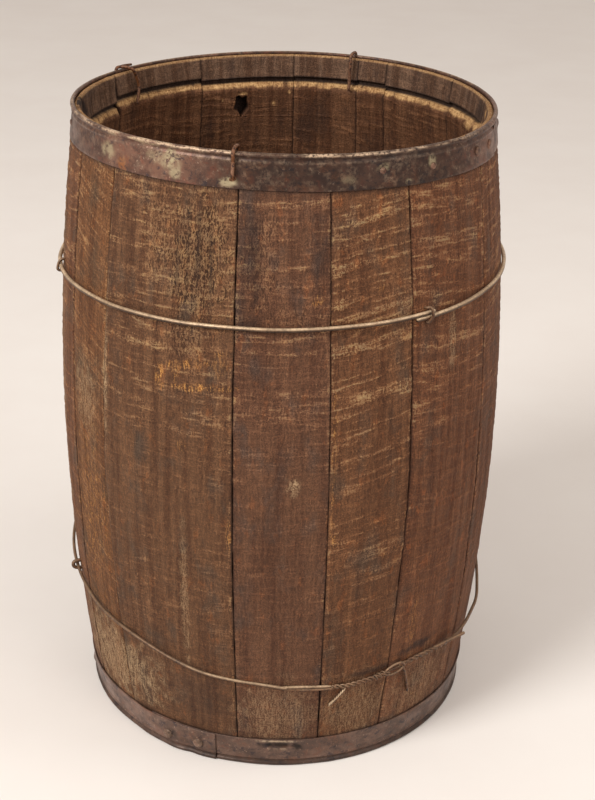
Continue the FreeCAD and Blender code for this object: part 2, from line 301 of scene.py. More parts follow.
# ---- Materials ----
class Paint:
    """A node material in the making. Each method adds a node and returns its output."""

    def __init__(self, name, roughness=0.8, metallic=0, specular=0.4):
        self.material = bpy.data.materials.new(name)
        self.material.use_nodes = True
        self.tree = self.material.node_tree
        self.shader = self.tree.nodes["Principled BSDF"].inputs
        fixed = {"Roughness": roughness, "Metallic": metallic, "Specular IOR Level": specular}
        for key, value in fixed.items():
            self.shader[key].default_value = value

    def add(self, kind, inputs, output=0, **settings):
        node = self.tree.nodes.new("ShaderNode" + kind)
        for key, value in settings.items():
            setattr(node, key, value)
        for key, value in inputs.items():
            if isinstance(value, bpy.types.NodeSocket):
                self.tree.links.new(value, node.inputs[key])
            else:
                node.inputs[key].default_value = value
        return node.outputs[output]

    def value(self, name):
        return self.add("Attribute", {}, "Fac", attribute_name=name)

    def vector(self, name):
        return self.add("Attribute", {}, "Vector", attribute_name=name)

    def scale(self, vector, factor):
        return self.add("VectorMath", {0: vector, "Scale": factor}, operation="SCALE")

    def vectors(self, operation, a, b):
        return self.add("VectorMath", {0: a, 1: b}, operation=operation)

    def noise(self, place, stretch, detail=3, roughness=0.6, twist=0):
        """Noise with so many cells per metre along each axis of a place."""
        scaled = self.vectors("MULTIPLY", place, stretch)
        return self.add("TexNoise", {"Vector": scaled, "Scale": 1, "Detail": detail,
                                     "Roughness": roughness, "Distortion": twist})

    def warp(self, place, cells, amount):
        """A place shifted to and fro by noise, so that what follows is not straight."""
        inputs = {"Vector": self.scale(place, cells), "Scale": 1, "Detail": 2}
        centred = self.vectors("SUBTRACT", self.add("TexNoise", inputs, 1), (0.5, 0.5, 0.5))
        return self.vectors("ADD", place, self.scale(centred, amount))

    def ridge(self, value, width):
        """1 along the lines where noise passes its middle, 0 away from them."""
        off = self.math("ABSOLUTE", self.math("SUBTRACT", value, 0.5))
        return self.ramp(off, width, 0)

    def ramp(self, value, low, high, start=0, end=1):
        return self.add("MapRange", {0: value, 1: low, 2: high, 3: start, 4: end},
                        interpolation_type="SMOOTHSTEP")

    def math(self, operation, a, b=0, c=0):
        return self.add("Math", {0: a, 1: b, 2: c}, operation=operation)

    def times(self, a, b, plus=None):
        """a times b, plus a third."""
        if plus is None:
            return self.math("MULTIPLY", a, b)
        return self.math("MULTIPLY_ADD", a, b, plus)

    def mix(self, share, a, b, mode="MIX"):
        a = (*a, 1) if isinstance(a, tuple) else a
        b = (*b, 1) if isinstance(b, tuple) else b
        return self.add("Mix", {0: share, 6: a, 7: b}, 2, data_type="RGBA", blend_type=mode)

    def cover(self, colour, value, low, high, over, most=1):
        """Another colour over a colour, as a value goes from low to high."""
        return self.mix(self.ramp(value, low, high, 0, most), colour, over)

    def finish(self, colour, roughness=None, height=None, depth=0, strength=1):
        """Joins up the colour and, where they are given, a roughness and a height to bump by."""
        self.tree.links.new(colour, self.shader["Base Color"])
        if roughness is not None:
            self.tree.links.new(roughness, self.shader["Roughness"])
            inputs = {"Height": height, "Distance": depth, "Strength": strength}
            self.tree.links.new(self.add("Bump", inputs), self.shader["Normal"])
        return self.material


# Linear colours of the wood. A pair is for low and high values of what drives it.
OLD_BROWN = ((0.085, 0.036, 0.018), (0.135, 0.062, 0.03))
INNER_BROWN = ((0.09, 0.034, 0.014), (0.16, 0.07, 0.032))
GREY_PATCH = (0.07, 0.046, 0.034)
RED_PATCH = (0.185, 0.068, 0.026)
INNER_PATCH = (0.06, 0.026, 0.014)
TAN_FIBRE = ((0.285, 0.195, 0.102), (0.405, 0.262, 0.12))
# Pale tan for dust, also used for a painted sheen along the left edge.
DUST_AND_SHEEN_TAN = (0.46, 0.32, 0.18)
RUBBED_ORANGE = ((0.36, 0.135, 0.032), (0.62, 0.33, 0.095))
# Near-black for stains, also used for painted shade and painted shadows.
SHADE_AND_STAIN_BLACK = (0.016, 0.01, 0.009)
# Bare wood, lighter than its own colour as a painted highlight.
BARE_WOOD_AND_HIGHLIGHT = ((0.33, 0.16, 0.06), (0.76, 0.48, 0.22))


def wood_material():
    """Weathered sawn wood. "grain" places are across, into and along the wood, and "saw"
    places follow the marks of the saw instead of the stave's length."""
    paint = Paint("worn_stave_wood", specular=0.25)
    ramp, times, mix, cover = paint.ramp, paint.times, paint.mix, paint.cover
    place, saw, tint = map(paint.vector, ("grain", "saw", "tint"))
    fuzz, rub, dust, torn = map(paint.value, ("fuzz", "rub", "dust", "torn"))
    stain, inside, ends = map(paint.value, ("stain", "inside", "ends"))
    bent = paint.warp(place, 140, 3 * MM)
    saw = paint.warp(saw, 70, 3.5 * MM)

    streaks = paint.noise(bent, (170, 120, 7), 5)
    clouds = paint.noise(place, (48, 60, 26), 4)
    hues = paint.noise(place, (110, 90, 60))
    fibres = paint.noise(bent, (760, 400, 130), 2)
    curls = paint.ridge(paint.noise(bent, (420, 300, 300), 2, 0.55), 0.09)
    lines = ramp(paint.noise(saw, (55, 60, 400), 3, 0.65), 0.45, 0.66)
    crumbs = paint.noise(bent, (900, 600, 900), 2)

    # Old brown surface: streaked along the grain, redder and greyer in places.
    colour = mix(ramp(streaks, 0.34, 0.66), *OLD_BROWN)
    colour = cover(colour, clouds, 0.5, 0.72, GREY_PATCH, 0.75)
    colour = cover(colour, hues, 0.58, 0.7, RED_PATCH, 0.6)
    inner = mix(ramp(streaks, 0.34, 0.66), *INNER_BROWN)
    inner = cover(inner, clouds, 0.52, 0.7, INNER_PATCH, 0.6)
    colour = mix(inside, colour, inner)
    colour = mix(1, colour, tint, "MULTIPLY")

    # One rough height drives both the colour and the bump: torn fibres stand up and are pale.
    level = times(fibres, 0.48, times(crumbs, 0.62))
    level = times(lines, times(fuzz, 0.24, 0.07), level)
    level = times(curls, times(fuzz, 0.14, 0.03), level)
    level = times(fuzz, 0.12, level)
    tangle = paint.ridge(paint.noise(bent, (440, 260, 150), 3, 0.65), 0.12)
    level = times(times(tangle, 0.5, -0.22), torn, level)
    # Low places are painted darker and high places lighter, as painted shade and light of the
    # relief.
    contrast = paint.math("MINIMUM", times(fuzz, 0.7, 0.55), 1)
    painted_relief_shade = times(ramp(level, 0.4, 0.95, -0.66, 0.95), contrast, 1)
    relief_shaded = paint.scale(colour, painted_relief_shade)
    fuzzy = times(fuzz, 0.85, 0.05)
    pale = times(ramp(level, 0.7, 0.98), fuzzy)
    colour = mix(pale, relief_shaded, mix(ramp(hues, 0.36, 0.62), *TAN_FIBRE))

    # What lies on it or is rubbed off it, with a painted sheen among the dust and painted shade
    # among the stains, broken up by the fibres.
    chips = times(fibres, 0.5, times(crumbs, 0.5))
    dust_and_sheen_share = times(dust, ramp(chips, 0.4, 0.62))
    colour = mix(times(dust_and_sheen_share, 0.75), colour, DUST_AND_SHEEN_TAN)
    flakes = times(fibres, 0.7, times(crumbs, 0.3))
    rubbed = times(rub, ramp(flakes, 0.46, 0.6, 0, 0.85))
    orange = mix(ramp(crumbs, 0.42, 0.68), *RUBBED_ORANGE)
    colour = mix(rubbed, colour, orange)
    colour = mix(times(stain, 0.85), colour, SHADE_AND_STAIN_BLACK)

    # Bare wood at broken places, along the ends and on the croze's lip, in colours made lighter as
    # a painted highlight.
    bare_and_highlight = mix(ramp(level, 0.4, 0.9), *BARE_WOOD_AND_HIGHLIGHT)
    colour = mix(times(ends, ramp(level, 0.35, 0.6, 0.5)), colour, bare_and_highlight)
    roughness = ramp(streaks, 0.3, 0.7, 0.86, 0.68)
    return paint.finish(colour, roughness, level, 1.4 * MM, 0.9)


# Linear colours of all the steel.
BLACK_SPOT = (0.022, 0.016, 0.02)
PALE_SPECK = (0.3, 0.205, 0.15)
DARK_SPECK = (0.03, 0.018, 0.016)
ORANGE_RUST = (0.25, 0.092, 0.032)
# Cream for splashes, also used for a painted reflection on the upper hoop's rolled edge at the
# left.
CREAM_SPLASH_AND_REFLECTION = (0.4, 0.33, 0.2)


def steel_material(name, base, dark, rust_brown, bare_and_highlight, roughness=0.38, even=0):
    """Steel under an old brown patina, blotched and specked. "tone" makes it darker or paler,
    which on the hoops, wires and heads also stands for painted shade and painted reflection, and
    even is how little its worn places and painted highlights are specked."""
    paint = Paint(name, metallic=0.3, specular=0.32)
    ramp, times, mix, cover = paint.ramp, paint.times, paint.mix, paint.cover
    place = paint.vector("grain")
    cream, rust, worn = map(paint.value, ("cream", "rust", "worn"))
    clouds = paint.noise(place, (60, 60, 75), 6, 0.65)
    blots = paint.noise(place, (150, 150, 150), 5, 0.7, 0.4)
    specks = paint.noise(place, (560, 560, 560), 3, 0.7)
    drags = paint.noise(place, (40, 40, 900))

    colour = cover(dark, clouds, 0.4, 0.62, base)
    colour = cover(colour, blots, 0.53, 0.64, rust_brown, 0.8)
    colour = cover(colour, blots, 0.46, 0.36, BLACK_SPOT, 0.75)
    colour = cover(colour, specks, 0.62, 0.72, PALE_SPECK, 0.75)
    colour = cover(colour, specks, 0.4, 0.3, DARK_SPECK, 0.6)
    colour = paint.scale(colour, paint.value("tone"))

    orange = times(rust, ramp(specks, 0.38, 0.56))
    colour = mix(orange, colour, ORANGE_RUST)
    ragged = paint.math("ADD", blots, times(specks, 0.5))
    splash_and_reflection = times(cream, ramp(ragged, 0.6, 0.78))
    colour = mix(splash_and_reflection, colour, CREAM_SPLASH_AND_REFLECTION)
    bright = times(worn, ramp(specks, 0.36, 0.58, even))
    colour = mix(bright, colour, bare_and_highlight)

    satin = ramp(clouds, 0.3, 0.7, roughness + 0.14, roughness - 0.06)
    dull = times(cream, 0.3, satin)
    height = times(drags, 0.4, paint.math("ADD", specks, blots))
    return paint.finish(colour, dull, height, 0.16 * MM, 0.8)


# ---- Staves ----
ROW = 1.1                       # between a stave's rows, columns, and both at the knot hole
COLUMN = 1.3
KNOT_CELL = 0.7
FACET = 0.20                    # how far a stave's face is from round towards flat
EDGE_POINTS = np.array([0, 0.25, 0.6, 1.1, 1.8, 2.7])
SIDE_POINTS = np.array([0.25, 0.5, 0.75])       # shares of the way from outside to inside
HALF_UP = (0, LENGTH / 2, LENGTH)
TOP_HOOP_EDGE = box_of("top_hoop")[0][2]
BOTTOM_HOOP_EDGE = box_of("bottom_hoop")[1][2]

# How each joint leans: its angle's change at the bottom, at half height and at the top, and
# the width of its gap there. A joint has the number of the stave on its right.
JOINT_LEAN = {
    1: ((0.8, -0.05, -0.2), (0.9, 0.9, 0.9)), 2: ((0.2, 0, -0.8), (1.3, 0.6, 0.6)),
    3: ((-1.8, 0.6, -1), (1.1, 0.9, 0.9)), 4: ((0, 0.3, -0.7), (0.9, 0.9, 0.6)),
    14: ((1.9, -1.1, 0), (0.7, 0.5, 0.5)),
}
PLAIN_LEAN = ((0, 0, 0), (0.6, 0.6, 0.5))

# Each stave's own brown, as a factor on the wood's red, green and blue.
TINTS = (
    (1, 0.97, 1), (1.08, 1, 0.86), (1.16, 1, 0.88), (1.08, 0.92, 0.8), (1, 0.98, 0.92),
    (1.1, 1.04, 0.94), (0.92, 0.92, 0.95), (1.04, 1, 0.92), (1.08, 1.02, 0.96),
    (0.96, 0.94, 0.95), (1.12, 1.05, 0.95), (1.16, 1, 0.8), (1.16, 1.06, 0.8), (1, 1, 0.92),
)
CHIME_TINT = (1.02, 1.30, 1.72)         # and that of the wood above the croze, inside

# Slope of the saw's marks on each stave, and how plain they are.
SAW = {1: (0.03, 0.75), 2: (0.16, 1), 3: (-0.12, 0.8), 4: (0.08, 0.7), 13: (-0.35, 0.5),
       14: (0.02, 0.7)}
PLAIN_SAW = (0.07, 0.8)

# How pale and fuzzy the sawn face of a stave is at its bottom, at half height and at its top.
FUZZ = {1: (0.45, 0.2, 0.66), 2: (0.4, 0.46, 0.78), 3: (0.36, 0.32, 0.82), 4: (0.4, 0.4, 0.75),
        13: (0.6, 0.6, 0.9), 14: (0.5, 0.32, 0.85)}
PLAIN_FUZZ = (0.5, 0.4, 0.75)

# How far the upper croze of a stave is below the others'.
CROZE_SHIFTS = {5: -0.8, 6: 0.6, 7: -0.4, 9: 0.5, 10: -1.3, 11: 3.2, 12: 1.5}

# Marks on the wood, as the function marks() takes them: orange rubbed places, pale dust with a
# painted sheen along the left edge, and torn grain; then dark streaks on both faces, stains
# outside, stains inside with painted shadow in the dark gaps inside the rim, and bare broken wood
# inside.
RUBS = (
    (-22, 319, 8.5, 3.6, 1, 0.5), (-14.5, 322, 2.4, 8, 1), (-21, 303, 9, 2.8, 1, 0.3),
    (-30.3, 306, 1.3, 12, 1), (-26, 311, 1.3, 8, 0.8), (-24.5, 260, 1.2, 5, 0.9),
    (13.5, 195, 0.8, 5, 1), (12.7, 245, 0.8, 55, 0.55), (-11.9, 198, 0.6, 18, 0.9),
    (38.5, 105, 1.8, 26, 0.5), (-57, 180, 8, 70, 0.45), (8.3, 367, 1.3, 4, 0.8),
    (24, 372, 1, 4, 0.7), (27, 178, 0.5, 2, 1), (43.5, 41, 3.4, 1.2, 0.8, 0.8),
    (41.5, 44, 0.6, 5, 0.7),
)
DUSTS_AND_SHEEN = (
    (-57, 268, 6, 26, 0.55), (-47.8, 295, 1.2, 46, 0.8), (-24, 142, 1.2, 58, 0.45),
    (-54, 56, 21, 34, 0.9), (3.5, 238, 1.9, 7.5, 0.9), (45.5, 325, 1.2, 26, 0.6),
    # The strip at -84 degrees, along the left edge, is a painted sheen.
    (-84, 240, 9, 190, 0.7), (0.5, 46, 11.5, 34, 0.38), (22, 46, 11, 34, 0.38),
    (45, 45, 13, 34, 0.38),
)
TORN = (
    (-21, 392, 10, 48, 1), (-31, 400, 6, 34, 0.6), (-24, 335, 6, 16, 0.7),
    (-5, 392, 5, 40, 0.55), (2, 355, 9, 10, 0.5),
)
STREAKS = (
    (-20.8, 402, 0.7, 40, 0.55), (-17.4, 384, 0.6, 34, 0.6), (-23.6, 396, 0.5, 42, 0.5),
    (-26.2, 380, 0.6, 26, 0.45), (-9.6, 388, 1.6, 44, 0.45), (-6.2, 372, 1.2, 14, 0.5),
)
STAINS = STREAKS + (
    (-7.8, 400, 3.4, 32, 0.55), (-22, 55, 10, 26, 0.35), (-8, 352, 3, 5, 0.5),
    (9, 400, 2, 26, 0.35), (27, 79, 9, 3, 0.7, 0.1), (42, 87, 8, 4, 0.8, 0.1),
)
INNER_STAINS_AND_SHADOWS = STREAKS + (
    # The entries at -89 and -82 degrees are painted shadow inside the rim at the left.
    (-89, 449.5, 6, 5.5, 1, 1.5), (-82, 457, 6.5, 4, 1), (95, 448, 6, 9, 0.7),
    (206, 400, 3, 10, 0.4), (172, 405, 8, 20, 0.35), (150, 380, 8, 30, 0.3),
)
BREAKS = (
    (86.5, 453, 1.8, 4, 1), (184.3, 420, 0.8, 2.2, 1), (179.2, 429, 0.6, 1.6, 0.9),
    (194.5, 428, 1.6, 1.3, 1), (201.5, 424, 0.5, 1.4, 0.7), (97, 434, 3, 7, 1),
    (104, 433, 3, 4, 0.9), (90, 441, 2, 3, 0.8),
)

# A knot has dropped out, inside: its place, and its outline across and up from there.
KNOT_ANGLE = 195.1
KNOT_HEIGHT = 418.5
KNOT_DEPTH = 8
KNOT_OUTLINE = ((-4, 7.7), (-1.8, 8.1), (0.8, 6), (4.2, 7.5), (4.9, 4), (6.6, -1.7),
                (4, -4.9), (0.4, -9.2), (-1.8, -4.4), (-6.1, -3), (-4.2, 2.1))


def marks(seed, places, angle, height):
    """How strongly points are marked, from 0 to 1, with ragged borders. A place is an angle, a
    height, half a width in degrees, half a height, a strength and maybe a lean in mm per
    degree."""
    total = np.zeros(np.shape(angle))
    edge = rough(seed, angle / 1.4, height / 5, 0)
    for middle, level, half_angle, half_height, strength, *lean in places:
        off = turned_by(angle, middle)
        up = (height - level - sum(lean) * off) / half_height
        far = np.sqrt((off / half_angle) ** 2 + up ** 2)
        total = np.maximum(total, strength * step(1.25, 0.35, far + 0.55 * edge))
    return total


def joint(number, height):
    """A joint's angle and half its gap, at heights."""
    number = (number - 1) % len(STAVES) + 1
    lean, gap = JOINT_LEAN.get(number, PLAIN_LEAN)
    angle = SPANS[number - 1][0] + np.interp(height, HALF_UP, lean)
    angle = angle + 0.10 * noise(5, height / 38, number * 7.3, 0)
    ragged = 0.8 + 0.5 * noise(6, height / 9, number * 3.1, 1)
    return angle, np.interp(height, HALF_UP, gap) * ragged / 2


def saw_level(angle, height, slope):
    """Height of the saw's line that passes a point: the lines slope and wander."""
    across = across_of(angle)
    return height - slope * across + 1.5 * noise(11, across / 30, height / 30, 0)


def saw_marks(angle, level, number):
    """Thin ragged ridges that a circular saw left across the grain: heights from 0 to 1."""
    across = across_of(angle)
    ripple = noise(12, level / 4, across / 70, number)
    ripple = ripple + 0.16 * noise(15, level / 1.6, across / 7, number)
    fine = noise(13, level / 1.5, across / 25, number)
    broken = rough(14, across / 14, level / 9, number)
    sharp = step(0.34, 0.04, np.abs(ripple))
    return np.clip(sharp * step(-1, 0.1, broken) + 0.3 * step(0.2, 0.8, fine), 0, 1)


def inner_depth(depth, shift):
    """How far the wall's inner face is from its outer face, by distance from the stave's end;
    shift moves the croze towards the middle."""
    depth = depth - shift * step(3, 12, depth)
    chime = CHIME + CHIME_TAPER * np.clip(depth / CROZE_TOP, 0, 1)
    base = CHIME + CHIME_TAPER
    lip = base + (WALL - base) * step(CROZE_LOW, LIP_END, depth)
    groove = step(CROZE_TOP - 0.1, CROZE_TOP + 0.4, depth)
    groove = groove * step(CROZE_LOW + 0.1, CROZE_LOW - 0.4, depth)
    return np.where(depth < CROZE_LOW, chime, lip) - CROZE_DEPTH * groove


def knot_share(angle, height):
    """1 inside the dropped knot's ragged star, 0 outside."""
    across = -np.radians(turned_by(angle, KNOT_ANGLE)) * wall_radius(KNOT_HEIGHT, WALL)
    up = height - KNOT_HEIGHT
    nearest = np.inf
    inside = np.zeros(np.shape(across), bool)
    for (x0, z0), (x1, z1) in zip(KNOT_OUTLINE, KNOT_OUTLINE[1:] + KNOT_OUTLINE[:1]):
        wide, high = x1 - x0, z1 - z0
        share = ((across - x0) * wide + (up - z0) * high) / (wide ** 2 + high ** 2)
        share = np.clip(share, 0, 1)
        nearest = np.minimum(nearest, np.hypot(across - x0 - share * wide, up - z0 - share * high))
        inside ^= ((z0 > up) != (z1 > up)) & (across < x0 + (up - z0) * wide / high)
    return step(-0.3, 0.5, np.where(inside, nearest, -nearest))


def spaced(parts, least):
    """Sorted values, without those that nearly repeat the one before."""
    values = np.unique(np.round(join(parts), 3))
    return values[np.append(True, np.diff(values) > least)]


def stave_grid(span):
    """Heights of a stave's rows, how far across it its columns are, and its width. They are
    close together at its ends, edges and croze, and at the knot hole."""
    width = across_of(span[1] - span[0])
    groove = np.array([-0.9, -0.1, 0.15, 0.4, 1.2])
    near = join([(0, 0.3, 0.8, 1.5, 2.3), CROZE_TOP + groove, CROZE_LOW - groove])
    rows = [near, LENGTH - near, np.arange(3.2, LENGTH - 3, ROW)]
    last = EDGE_POINTS[-1]
    middle = np.arange(last + COLUMN, width - last - 0.5 * COLUMN, COLUMN)
    columns = [EDGE_POINTS, middle, width - EDGE_POINTS]
    knot = across_of(turned_by(KNOT_ANGLE, span[0]))
    if 0 < knot < width:
        rows.append(KNOT_HEIGHT + np.arange(-10.5, 10.5, KNOT_CELL))
        columns.append(knot + np.arange(-9, 9, KNOT_CELL))
    return spaced(rows, 0.14)[:, None], spaced(columns, 0.12)[None, :], width


def outer_face(number, angle, height, bend, edge, end, side):
    """A stave's worn outer face: its radius, its saw lines' level and its values. bend is how
    much flatter than round it is, edge and end how far its edges are, and side their number."""
    slope, plain = SAW.get(number, PLAIN_SAW)
    across = across_of(angle)
    level = saw_level(angle, height, slope)
    ridges = saw_marks(angle, level, number) * plain
    ridges = ridges * (step(0.1, 0.36, height / LENGTH) * 0.7 + 0.3)
    torn = marks(31, TORN, angle, height)
    curl = 2 * noise(33, across / 9, height / 14, 0)
    relief = (0.50 * ridges + 0.14 * noise(21, across / 1.7, height / 60, number)
              + 0.22 * noise(22, across / 5.5, height / 130, number)
              + 0.30 * rough(23, across / 28, height / 45, number)
              + torn * rough(32, across / 2.9 + curl, height / 9, 4))
    rounding = (0.75 + 0.5 * noise(41, height / 14, side, 2)) * 0.9 * fade(edge, 0.9)
    radius = wall_radius(height) * (1 + bend) + relief - rounding - 1.6 * fade(end, 1.1)

    low, middle, top = FUZZ.get(number, PLAIN_FUZZ)
    fuzz = np.interp(height, (*HALF_UP[:2], LENGTH * 0.72), (low, middle, top))
    fuzz = fuzz * (0.85 + 0.3 * rough(44, angle / 5, height / 30, number))
    fuzz = np.clip(fuzz * (0.26 + 1.15 * ridges * (1 - 0.6 * torn)) + 0.2 * torn, 0, 1)
    # Paler along the edges: worn arrises with a painted highlight where light catches them.
    worn_edge_and_highlight = step(0.2, 0.8, edge) * step(2.6, 1.2, edge)
    worn_edge_and_highlight = worn_edge_and_highlight * step(-0.3, 0.5, noise(45, height / 11, side, 7))
    flaked = step(-0.35, 0.25, noise(56, angle / 1.1, height / 3.2, 6))
    stain = np.maximum(marks(51, STAINS, angle, height), 0.5 * fade(edge, 0.7))
    # Painted shadow on the staves along the edges of the hoops.
    for hoop in (TOP_HOOP_EDGE, BOTTOM_HOOP_EDGE):
        stain = np.maximum(stain, 0.75 * fade(np.abs(height - hoop), 1.7))
    return radius, level, {
        "fuzz": np.clip(fuzz + 0.45 * worn_edge_and_highlight, 0, 1),
        "torn": torn,
        "rub": marks(52, RUBS, angle, height) * (0.25 + 0.75 * flaked),
        "dust": marks(53, DUSTS_AND_SHEEN, angle, height),
        "stain": stain,
        "inside": 0,
        "ends": 0.6 * step(2.2, 0.6, end),
    }


def inner_face(number, angle, height, edge, end):
    """The same of a stave's inner face, and the three factors of its tint."""
    across = across_of(angle)
    level = saw_level(angle, height, 0.05)
    ridges = saw_marks(angle, level, number + 20)
    relief = 0.16 * noise(43, across / 2, height / 70, number) + 0.35 * ridges
    relief = relief * step(0, 26, end) + 0.5 * noise(42, number * 5.7, height / 400, 3)
    shift = CROZE_SHIFTS.get(number, 0) * (height > LENGTH / 2)
    knot = knot_share(angle, height)
    radius = wall_radius(height) - inner_depth(end, shift) - relief + KNOT_DEPTH * knot
    radius = radius + 0.5 * fade(edge, 0.7) + 0.8 * fade(end, 0.8)

    below = end - shift - CROZE_LOW
    above = end - shift - CROZE_TOP
    # Painted shade in the croze groove.
    painted_shade = 0.9 * step(-1.4, -0.2, above) * step(1, 0, below)
    stain_and_shadow = marks(55, INNER_STAINS_AND_SHADOWS, angle, height)
    # The croze's lip is bare cut wood with a painted highlight.
    lip_end = 2.6 + 1.2 * rough(46, across / 7, number * 3, 8)
    lip = 0.95 * step(-0.4, 0.4, below) * step(lip_end + 1.3, lip_end - 0.3, below)
    lip = lip * step(-1, -0.3, noise(47, across / 3, height / 8, 9))
    bare_and_highlight = np.maximum(lip, marks(54, BREAKS, angle, height))
    bare_and_highlight = np.maximum(bare_and_highlight, 0.6 * step(1.5, 0.5, end))
    chime = step(0.4, -0.4, below)
    tone = 1 + 0.16 * noise(48, number * 1.7, 0.5, 0.5)
    # The knot hole is painted dark as the shade in it; the rim's painted shadow also darkens the
    # bare wood.
    return radius, level, {
        "fuzz": 0.06 + 0.10 * chime + 0.30 * ridges * (1 - chime),
        "stain": np.maximum.reduce([painted_shade, stain_and_shadow, knot, 0.6 * fade(edge, 0.7) + 0 * knot]),
        "inside": 1,
        "ends": bare_and_highlight * (1 - stain_and_shadow),
    }, [tone * (1 + chime * (tint - 1)) for tint in CHIME_TINT]


def side_points(outer, inner, meeting):
    """Points between an outer and an inner edge: staves meet from half their depth."""
    share = SIDE_POINTS[:, None]
    straight = outer[:, None] * (1 - share) + inner[:, None] * share
    radius = np.hypot(straight[..., 0], straight[..., 1])
    start = angles_of(outer)[:, None]
    return spot(start + turned_by(meeting, start) * (0.4, 1, 1), radius, straight[..., 2])


def end_cap(row, first_new, outer, inner, loop):
    """Points and faces that close a stave's end, between its last row's edges."""
    columns = len(outer)
    share = SIDE_POINTS[:, None, None]
    points = outer[1:-1] * (1 - share) + inner[1:-1] * share
    points[..., 2] += 0.25 * noise(61, points / 2.5)
    ids = np.zeros((5, columns), int)
    ids[0] = np.arange(columns)
    ids[4] = columns + 3 + ids[0, ::-1]
    ids[1:4, -1] = columns + np.arange(3)
    ids[1:4, 0] = 2 * columns + 3 + np.arange(3)[::-1]
    ids += row * loop
    ids[1:4, 1:-1] = first_new + np.arange(3 * (columns - 2)).reshape(3, -1)
    quads = ids.ravel()[grid(5, columns)]
    return points.reshape(-1, 3), quads if row else quads[:, ::-1]


def make_stave(number, material):
    """One stave. Each of its rows is a loop: the outer face, the right side, the inner face
    backwards and the left side. A cap closes each end."""
    rows, columns, width = stave_grid(SPANS[number - 1])
    share = columns / width
    height = rows + 0 * share
    left, left_gap = joint(number, rows)
    right, right_gap = joint(number + 1, rows)
    right = right + (360 if right.mean() < left.mean() else 0)
    radius = wall_radius(rows)
    start = left + np.degrees(left_gap / radius)
    stop = right - np.degrees(right_gap / radius)
    angle = start + (stop - start) * share
    seam = np.degrees(0.15 / radius)
    inner_angle = left + seam + (right - left - 2 * seam) * share
    edge = np.minimum(share, 1 - share) * width
    end = np.minimum(height, LENGTH - height)

    flat = np.cos(np.radians(stop - start) / 2) / np.cos(np.radians(angle - (start + stop) / 2))
    bend = FACET * (0.35 + 0.65 * np.sin(np.pi * rows / LENGTH))
    bend = bend * (flat - flat.mean(1, keepdims=True))
    side = number + np.round(share)
    outer, level, outside = outer_face(number, angle, height, bend, edge, end, side)
    inner, inner_level, inside, tones = inner_face(number, inner_angle, height, edge, end)
    outer = spot(angle, outer, height)
    inner = spot(inner_angle, inner, height)
    touch = np.degrees(0.04 / radius)
    right_side = side_points(outer[:, -1], inner[:, -1], right + touch)
    left_side = side_points(outer[:, 0], inner[:, 0], left - touch)[:, ::-1]
    loops = join([outer, right_side, inner[:, ::-1], left_side], axis=1)

    def ring(front, back, right_edge=0, left_edge=None):
        """Values of all the loops."""
        left_edge = right_edge if left_edge is None else left_edge
        front, back = (np.broadcast_to(face, angle.shape) for face in (front, back))
        edges = [np.broadcast_to(e, (len(rows), 3)) for e in (right_edge, left_edge)]
        return join([front, edges[0], back[:, ::-1], edges[1]], axis=1)

    on_sides = {"stain": 1, "inside": 1}
    values = {key: ring(value, inside.get(key, 0), on_sides.get(key, 0))
              for key, value in outside.items()}
    own = TINTS[number - 1]
    tint = np.stack([ring(factor, tone, factor) for factor, tone in zip(own, tones)], -1)
    across = 370 * number + ring(*map(across_of, (angle, inner_angle, stop, start)))
    depth = ring(0, WALL, WALL / 2)
    grain = along(across, depth, rows)
    saw = along(across, depth, ring(level, inner_level, level[:, -1:], level[:, :1]))

    points = loops.reshape(-1, 3)
    faces = [grid(*loops.shape[:2], wrap=True)]
    for row in (0, len(rows) - 1):
        cap, quads = end_cap(row, len(points), outer[row], inner[row], loops.shape[1])
        points = join([points, cap])
        faces.append(quads)
    ends, depths = [0, -1], SIDE_POINTS[:, None]
    places = along(across[ends, None, 1:len(angle[0]) - 1], depths * CHIME, rows[ends, None])
    # The caps take the stains and the rim's painted shadow too.
    stain_and_shadow = marks(55, INNER_STAINS_AND_SHADOWS, angle[ends, 1:-1], height[ends, 1:-1])
    stain_and_shadow = np.tile(stain_and_shadow, 3).ravel()
    on_caps = {"ends": 0.6 * (1 - stain_and_shadow), "stain": stain_and_shadow}
    values = {key: np.append(value, on_caps.get(key, 0 * stain_and_shadow)) for key, value in values.items()}
    shape = Shape()
    shape.add(points, faces, **values, grain=np.append(grain, places), saw=np.append(saw, places),
              tint=np.append(tint, np.tile(own, len(stain_and_shadow))))
    shape.piece("worn_", STAVES[number - 1], material)


